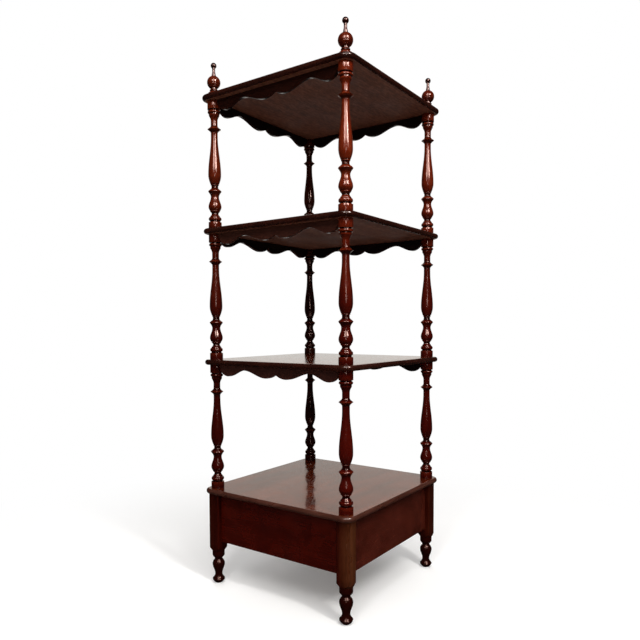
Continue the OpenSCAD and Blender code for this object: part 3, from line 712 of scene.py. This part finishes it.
# The stem is coloured pale grey-pink.
pale_stem = ((0.085, 0.0420, 0.0380), (0.140, 0.0850, 0.0800), (0.210, 0.1500, 0.1450))
tip_dark = ((0.007, 0.0010, 0.0006), (0.015, 0.0021, 0.0012), (0.028, 0.0052, 0.0030))
finial_finish = turned_wood("turned_finials", ball_red, ball_red)
stem_finish = turned_wood("turned_finial_stems", pale_stem, pale_stem)
tip_finish = turned_wood("turned_finial_tips", tip_dark, tip_dark)
board_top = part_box("top_board")[1][2]
for corner, (x, y) in corners.items():
    node = "finial_" + corner
    form = turned(finial_shape, (x, y, board_top))
    for face in form.faces:
        up = (face.calc_center_median().z - board_top) / mm
        face.material_index = 0 if up < stem_low else (1 if up < stem_low + stem_h else 2)
    finished_piece("turned_" + node, form, (finial_finish, stem_finish, tip_finish), "case", node,
                   wide_crease, flat_led=False)


# ---- Aprons ----
# Nine sawn mahogany boards, 9 mm thick, glued under the three upper boards on the front and both sides,
# between the blocks of the posts. The lower edge is a fretted line of lobes and cusps with eased arrises.
# Their backs are left unpolished, and their colour is painted near black as shade.

apron_t = 9
apron_out = 5
lobe_d = 27
cusp_d = 17
rise_d = 11
lobe_u = 30
end_lobe_in = 41.5
rise_in = 52
arris_ease = 0.7
ease_steps = 2
fret_steps = 16
end_steps = 24
least_step = 0.5
below_board = 0.5 * mm
facing_back = 0.9
front_to_back = (1.0, 0.05, 1.0)


def apron_edge(half):
    """The fretted line from the apron's middle to its end, as (distance along, depth below the board)."""
    arc_r = (lobe_u ** 2 + (lobe_d - cusp_d) ** 2) / (2 * (lobe_d - cusp_d))
    end_lobe = half - end_lobe_in
    rise = end_lobe - rise_in
    end = half - math.sqrt(block_r ** 2 - apron_out ** 2)
    points = []
    for step in range(fret_steps + 1):
        along = lobe_u * step / fret_steps
        points.append((along, lobe_d - arc_r + math.sqrt(arc_r ** 2 - (lobe_u - along) ** 2)))
    for step in range(1, fret_steps + 1):
        turn = (1 - math.cos(math.pi * step / fret_steps)) / 2
        points.append((lobe_u + (rise - lobe_u) * step / fret_steps, lobe_d + (rise_d - lobe_d) * turn))
    for step in range(1, fret_steps + 1):
        turn = (1 - math.cos(math.pi * step / fret_steps)) / 2
        points.append((rise + (end_lobe - rise) * step / fret_steps, rise_d + (lobe_d - rise_d) * turn))
    for step in range(1, end_steps + 1):
        angle = math.pi / 2 * step / end_steps
        along = end_lobe + lobe_d * math.sin(angle)
        if along < end - least_step:
            points.append((along, lobe_d * math.cos(angle)))
    points.append((end, lobe_d * math.sqrt(max(0.0, 1 - ((end - end_lobe) / lobe_d) ** 2))))
    points.append((end, 0.0))
    return points


# Painted shade: the apron backs, inside the case, are given a near-black colour. They are dull too, being
# unpolished.
shaded_apron_backs_finish, tree = new_finish("unpolished_apron_backs_painted_shade")
pattern, fibre, pore, stain, place = wood(tree, grain=(0.3, 0.3, 1.0), streak=42.0)
colour = tones(tree, pattern, ((0.004, 0.0012, 0.0007), (0.009, 0.0024, 0.0014), (0.018, 0.0052, 0.0030)))
roughness = span(tree, stain, 0.3, 0.7, 0.6, 0.75)
close_finish(tree, colour, roughness, ((fibre, 0.10 * mm), (pore, -0.06 * mm)), specular=0.12)


def sawn_apron(between, turn, out, top):
    half_edge = apron_edge(between / mm / 2)
    outline = half_edge + [(-along, depth) for along, depth in reversed(half_edge) if along > 0]
    form = bmesh.new()
    face = form.faces.new([form.verts.new((along * mm, 0.0, -depth * mm)) for along, depth in outline])
    thick = bmesh.ops.extrude_face_region(form, geom=[face])["geom"]
    bmesh.ops.translate(form, vec=(0.0, -apron_t * mm, 0.0),
                        verts=[part for part in thick if isinstance(part, bmesh.types.BMVert)])
    bmesh.ops.recalc_face_normals(form, faces=form.faces)
    lower_lines = [edge for edge in form.edges
                   if abs(edge.verts[0].co.y - edge.verts[1].co.y) < same_place
                   and max(edge.verts[0].co.z, edge.verts[1].co.z) < -below_board]
    rounded(form, lower_lines, arris_ease * mm, ease_steps)
    form.normal_update()
    for face in form.faces:
        face.material_index = 1 if face.normal.y > facing_back else 0
    bmesh.ops.translate(form, vec=(0.0, (apron_t - apron_out) * mm - out, top), verts=form.verts)
    turning = Matrix.Rotation(math.radians(turn), 3, "Z")
    bmesh.ops.rotate(form, cent=(0, 0, 0), matrix=turning, verts=form.verts)
    return form


# One wood in lit and shaded copies, one per tier: the top tier's aprons are painted much darker, as painted
# shade under the top board.
apron_tones_lit_and_shaded = {
    "top": ((0.008, 0.0013, 0.0006), (0.015, 0.0028, 0.0014), (0.026, 0.0058, 0.0030)),
    "upper": ((0.026, 0.0064, 0.0040), (0.048, 0.0142, 0.0090), (0.076, 0.0255, 0.0162)),
    "middle": ((0.029, 0.0070, 0.0050), (0.053, 0.0155, 0.0108), (0.085, 0.0285, 0.0200)),
}
apron_sides = (("front", 0.0, 2 * post_x, post_y), ("left", -90.0, 2 * post_y, post_x),
               ("right", 90.0, 2 * post_y, post_x))
for tier in ("middle", "upper", "top"):
    board_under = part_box(tier + "_board")[0][2]
    front_finish = polished_wood("polished_" + tier + "_front_apron", side_to_side, 42.0,
                                 *apron_tones_lit_and_shaded[tier], gloss=0.16)
    side_finish = polished_wood("polished_" + tier + "_side_aprons", front_to_back, 42.0,
                                *apron_tones_lit_and_shaded[tier], gloss=0.16)
    for side, turn, between, out in apron_sides:
        node = tier + "_apron_" + side
        finish = front_finish if side == "front" else side_finish
        finished_piece("sawn_" + node, sawn_apron(between, turn, out, board_under), (finish, shaded_apron_backs_finish),
                       "case", node, wide_crease)


# ---- Legs ----
# Each leg is one piece of mahogany: a square block that holds the case, turned below it to a round foot
# with a neck, a bulb and a toe. The polish is rubbed through to brown wood, most of all at the back right.

leg_w = 32
leg_edge_r = 3
leg_edge_steps = 6
foot_h = 85
leg_shoulder_h = 8
foot_flat_r = 8
toe_r = 15.2
toe_h = 10
ankle_h = 21.5
ankle_r = 9
bulb_r = 15.2
bulb_cap_h = 12
foot_neck_r = 9
foot_ogee_h = 10.5
collar_r = 15
collar_h = 11
collar_ease = 0.4
collar_lip = 0.3
spare_h = 5
worn_beside = 0.99
worn_behind = 1.09
worn_high = 0.15
worn_tall = (1.0, 1.0, 0.12)
worn_through = 1.0
hardly_worn = 0.15


def leg_points(top):
    collar_top = foot_h - leg_shoulder_h / 2
    collar_low = collar_top - collar_h
    neck = collar_low - foot_ogee_h
    bulb = neck - bulb_cap_h
    corner_r = (leg_w / 2 - leg_edge_r) * math.sqrt(2) + leg_edge_r
    return (
        [(0, 0), (foot_flat_r, 0)]
        + swell(foot_flat_r, 0, toe_r, toe_h)
        + upside_down(flare(ankle_r, -ankle_h, toe_r, -toe_h))
        + [(ankle_r, ankle_h)]
        + ogee(ankle_r, ankle_h, bulb_r, bulb)
        + upside_down(swell(foot_neck_r, -neck, bulb_r, -bulb))
        + [(foot_neck_r, neck)]
        + ogee(foot_neck_r, neck, collar_r, collar_low)
        + [(collar_r, collar_top - collar_ease), (collar_r + collar_lip, collar_top)]
        + [(corner_r, collar_top + leg_shoulder_h), (leg_w, collar_top + leg_shoulder_h)]
        + [(leg_w, top + spare_h), (0, top + spare_h)]
    )


def loose_object(name, form):
    mesh = bpy.data.meshes.new(name)
    form.to_mesh(mesh)
    form.free()
    piece = bpy.data.objects.new(name, mesh)
    bpy.context.scene.collection.objects.link(piece)
    return piece


def leg_form(x, y, top):
    """The square leg and the turned outline cut each other, as the lathe leaves a square block on top."""
    half = leg_w / 2 * mm
    square = squared_blank((x - half, y - half, -spare_h * mm), (x + half, y + half, top))
    rounded(square, uprights(square), leg_edge_r * mm, leg_edge_steps)
    square = loose_object("leg_square", square)
    lathe = loose_object("leg_lathe", turned(leg_points(top / mm), (x, y, 0.0)))
    turning = square.modifiers.new("turned_foot", "BOOLEAN")
    turning.operation = "INTERSECT"
    turning.solver = "EXACT"
    turning.object = lathe
    shaped = square.evaluated_get(bpy.context.evaluated_depsgraph_get()).to_mesh()
    form = bmesh.new()
    form.from_mesh(shaped)
    bmesh.ops.remove_doubles(form, verts=form.verts, dist=same_place)
    for helper in (square, lathe):
        bpy.data.objects.remove(helper)
    return form


def leg_wood(name, x, y, worn):
    """Dark red polish, rubbed through to brown wood along the block's outer edge, by worn from 0 to 1."""
    finish, tree = new_finish(name)
    pattern, fibre, pore, stain, place = wood(tree, up_and_down, streak=60.0, shift=(x, y, 0.0))
    red = tones(tree, pattern, ((0.014, 0.0010, 0.0004), (0.027, 0.0021, 0.0009), (0.048, 0.0048, 0.0019)))
    brown = tones(tree, pattern,
                  ((0.032, 0.0082, 0.0025), (0.070, 0.0180, 0.0053), (0.125, 0.0370, 0.0120)))
    apart = reckon_places(tree, "SUBTRACT", place, (x * worn_beside, y * worn_behind, worn_high))
    apart = reckon_places(tree, "MULTIPLY", apart, worn_tall)
    rubbed = span(tree, reckon_places(tree, "LENGTH", apart), 0.012, 0.034, 1.0, 0.0)
    patchy = span(tree, stain, 0.35, 0.60, 0.45, 1.0)
    height = upward_part(tree, place)
    on_block = span(tree, height, 0.078, 0.088, 0.0, 1.0)
    for limit in (patchy, worn, on_block):
        rubbed = reckon(tree, "MULTIPLY", rubbed, limit)
    colour = blended(tree, rubbed, red, brown)
    # Below the block the turned foot is made much darker.
    colour = blended(tree, span(tree, height, 0.070, 0.100, 0.75, 0.0), colour, (0.0085, 0.0010, 0.0006))
    roughness = span(tree, stain, 0.3, 0.7, 0.12, 0.20)
    roughness = reckon(tree, "MULTIPLY_ADD", rubbed, 0.12, roughness)
    close_finish(tree, colour, roughness, ((fibre, 0.07 * mm), (pore, -0.04 * mm)), specular=0.4,
                 tint=(1.0, 0.6, 0.5))
    return finish


for corner, (x, y) in corners.items():
    node = "leg_" + corner
    worn = worn_through if corner == "back_right" else hardly_worn
    finish = leg_wood("polished_" + node, x, y, worn)
    form = leg_form(x, y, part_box("base_board")[0][2])
    finished_piece("turned_" + node, form, (finish,), "case", node)


# ---- Panels and rail ----
# Plain panels 10 mm thick close both sides and the back of the case, with tongues in the legs' grooves.
# The rail under the drawer is tenoned into the front legs. Their arrises are eased by hand.

eased = 0.6 * mm
crisp_bend = math.radians(30.0)
same_plane = math.radians(0.5)


def eased_copy(node):
    """The node's own shape with its outer arrises eased."""
    form = bmesh.new()
    form.from_mesh(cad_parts[node].data)
    bmesh.ops.remove_doubles(form, verts=form.verts, dist=merge_within)
    bmesh.ops.dissolve_limit(form, angle_limit=same_plane, verts=form.verts, edges=form.edges)
    sharp = [edge for edge in form.edges
             if edge.is_manifold and edge.is_convex and edge.calc_face_angle() > crisp_bend]
    bmesh.ops.bevel(form, geom=sharp, affect="EDGES", offset=eased, segments=ease_steps, profile=0.5,
                    material=-1, clamp_overlap=True)
    return form


def panel_wood(name, grain, dark, middle, light, scratched, gloss):
    """Cloudy polished wood with fine light scratches, the more of them the higher scratched is."""
    finish, tree = new_finish(name)
    pattern, fibre, pore, stain, place = wood(tree, grain, streak=26.0)
    colour = tones(tree, pattern, (dark, middle, light), positions=(0.28, 0.50, 0.74))
    cloud = cloudy(tree, place, scale=16.0, detail=3.0, roughness=0.6, distortion=0.6)
    colour = blended(tree, span(tree, cloud, 0.50, 0.68, 0.0, 0.55), colour, light)
    colour = blended(tree, span(tree, cloud, 0.32, 0.48, 0.6, 0.0), colour, dark)
    tilted = stretched(tree, place, (0.6, 0.6, 3.0), turn=(0.2, 0.35, 0.3))
    lines = reckon(tree, "SUBTRACT", cloudy(tree, tilted, scale=22.0, detail=3.0), 0.5)
    lines = span(tree, reckon(tree, "ABSOLUTE", lines), 0.0, 0.0035, 1.0, 0.0)
    lines = reckon(tree, "MULTIPLY", lines, span(tree, stain, 0.48, 0.62, 0.0, scratched))
    colour = blended(tree, lines, colour, (0.16, 0.060, 0.034))
    colour = blended(tree, span(tree, pore, 0.0, 1.0, 0.0, 0.25), colour, dark)
    roughness = span(tree, stain, 0.3, 0.7, gloss, gloss + 0.08)
    close_finish(tree, colour, roughness, ((fibre, 0.05 * mm), (pore, -0.02 * mm), (lines, -0.02 * mm)))
    return finish


# The side panels are a darker copy of the back panel's wood: painted shade, as less light falls on the
# sides than on the back.
side_panel_finish = panel_wood(
    "polished_side_panels", front_to_back, dark=(0.025, 0.0012, 0.0004), middle=(0.042, 0.0023, 0.0007),
    light=(0.070, 0.0046, 0.0014), scratched=0.12, gloss=0.13)
back_panel_finish = panel_wood(
    "polished_back_panel", side_to_side, dark=(0.032, 0.0042, 0.0021), middle=(0.062, 0.0090, 0.0047),
    light=(0.100, 0.0170, 0.0090), scratched=0.35, gloss=0.15)
for node, finish in (("left_panel", side_panel_finish), ("right_panel", side_panel_finish),
                     ("back_panel", back_panel_finish), ("front_rail", back_panel_finish)):
    finished_piece("eased_" + node, eased_copy(node), (finish,), "case", node)


# ---- Drawer front and knobs ----
# The front is a polished mahogany board with lapped dovetail sockets behind, and two turned mahogany knobs
# are doweled into it. It slides out on the runners between the front legs.

drawer_front_finish = panel_wood(
    "polished_drawer_front", side_to_side, dark=(0.026, 0.0036, 0.0018), middle=(0.058, 0.0085, 0.0034),
    light=(0.098, 0.0190, 0.0080), scratched=0.3, gloss=0.16)
finished_piece("eased_drawer_front", eased_copy("drawer_front"), (drawer_front_finish,), "drawer",
               "drawer_front")

knob_out = 21
knob_sunk = 2
knob_r = 13
knob_foot_r = 8.5
knob_foot_h = 5
knob_foot_round = 1
knob_neck_r = 5.8
knob_neck_h = 3.5
knob_flare_h = 6
knob_edge = knob_foot_h + knob_neck_h + knob_flare_h
knob_shape = (
    [(0, -knob_sunk), (knob_foot_r - knob_foot_round, -knob_sunk), (knob_foot_r, 0)]
    + ogee(knob_foot_r, 0, knob_neck_r, knob_foot_h)
    + [(knob_neck_r, knob_foot_h + knob_neck_h)]
    + flare(knob_neck_r, knob_foot_h + knob_neck_h, knob_r, knob_edge)
    + [(knob_r * math.cos(math.pi / 2 * t), knob_edge + (knob_out - knob_edge) * math.sin(math.pi / 2 * t))
       for t in eased_steps(2 * curve_steps)]
)
knob_finish = turned_wood("turned_knobs", ball_red, ball_red)
front_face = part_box("drawer_front")[0][1]
facing_front = Matrix.Rotation(math.radians(90.0), 3, "X")
for side in ("left", "right"):
    node = "drawer_knob_" + side
    low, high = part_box(node)
    middle = ((low[0] + high[0]) / 2, front_face, (low[2] + high[2]) / 2)
    form = turned(knob_shape, (0.0, 0.0, 0.0))
    bmesh.ops.rotate(form, cent=(0, 0, 0), matrix=facing_front, verts=form.verts)
    bmesh.ops.translate(form, vec=middle, verts=form.verts)
    finished_piece("turned_" + node, form, (knob_finish,), "drawer", node,
                   wide_crease, flat_led=False)


# ---- Drawer box and inside wood ----
# The drawer's sides, back and bottom, its runners, guides and stops, and the glue blocks are plain planed
# wood without polish, gone brown with age and dust. The sides are dovetailed at both ends.


def plain_wood(name, grain, dark, middle, light):
    finish, tree = new_finish(name)
    pattern, fibre, pore, stain, place = wood(tree, grain, streak=40.0)
    colour = tones(tree, pattern, (dark, middle, light))
    colour = blended(tree, span(tree, stain, 0.42, 0.72, 0.0, 0.45), colour, dark)
    colour = blended(tree, span(tree, pore, 0.0, 1.0, 0.0, 0.5), colour, dark)
    roughness = span(tree, stain, 0.3, 0.7, 0.58, 0.75)
    close_finish(tree, colour, roughness, ((fibre, 0.15 * mm), (pore, -0.06 * mm)), specular=0.3)
    return finish


lengthways = plain_wood(
    "planed_wood_front_to_back", front_to_back, dark=(0.130, 0.060, 0.028),
    middle=(0.250, 0.130, 0.062), light=(0.350, 0.200, 0.105))
crossways = plain_wood(
    "planed_wood_side_to_side", side_to_side, dark=(0.120, 0.056, 0.026),
    middle=(0.235, 0.122, 0.058), light=(0.330, 0.190, 0.098))
for node, finish, body in (
    ("drawer_side_left", lengthways, "drawer"), ("drawer_side_right", lengthways, "drawer"),
    ("drawer_back", crossways, "drawer"), ("drawer_bottom", crossways, "drawer"),
    ("drawer_runner_left", lengthways, "case"), ("drawer_runner_right", lengthways, "case"),
    ("drawer_guide_left", lengthways, "case"), ("drawer_guide_right", lengthways, "case"),
    ("drawer_stops", lengthways, "case"), ("glue_blocks", crossways, "case"),
):
    finished_piece("planed_" + node, eased_copy(node), (finish,), body, node)


# ---- Drawer bottom nails ----
# Three small iron nails go up through the back edge of the drawer bottom into the drawer back. Their heads
# are dark and slightly rusted.

nail_finish, tree = new_finish("rusted_iron")
place = add_node(tree, "ShaderNodeTexCoord").outputs["Object"]
rust = cloudy(tree, place, scale=900.0, detail=4.0)
colour = tones(tree, rust, ((0.060, 0.052, 0.048), (0.110, 0.080, 0.062), (0.170, 0.075, 0.036)),
               positions=(0.35, 0.50, 0.65))
pitted = add_node(tree, "ShaderNodeBump", {"Height": rust, "Distance": 0.1 * mm}).outputs[0]
shader = add_node(tree, "ShaderNodeBsdfPrincipled",
                  {"Base Color": colour, "Roughness": span(tree, rust, 0.3, 0.7, 0.4, 0.85),
                   "Metallic": 0.7, "Normal": pitted})
add_node(tree, "ShaderNodeOutputMaterial", {"Surface": shader.outputs[0]})
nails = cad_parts["drawer_bottom_nails"]
nails.data.materials.clear()
nails.data.materials.append(nail_finish)
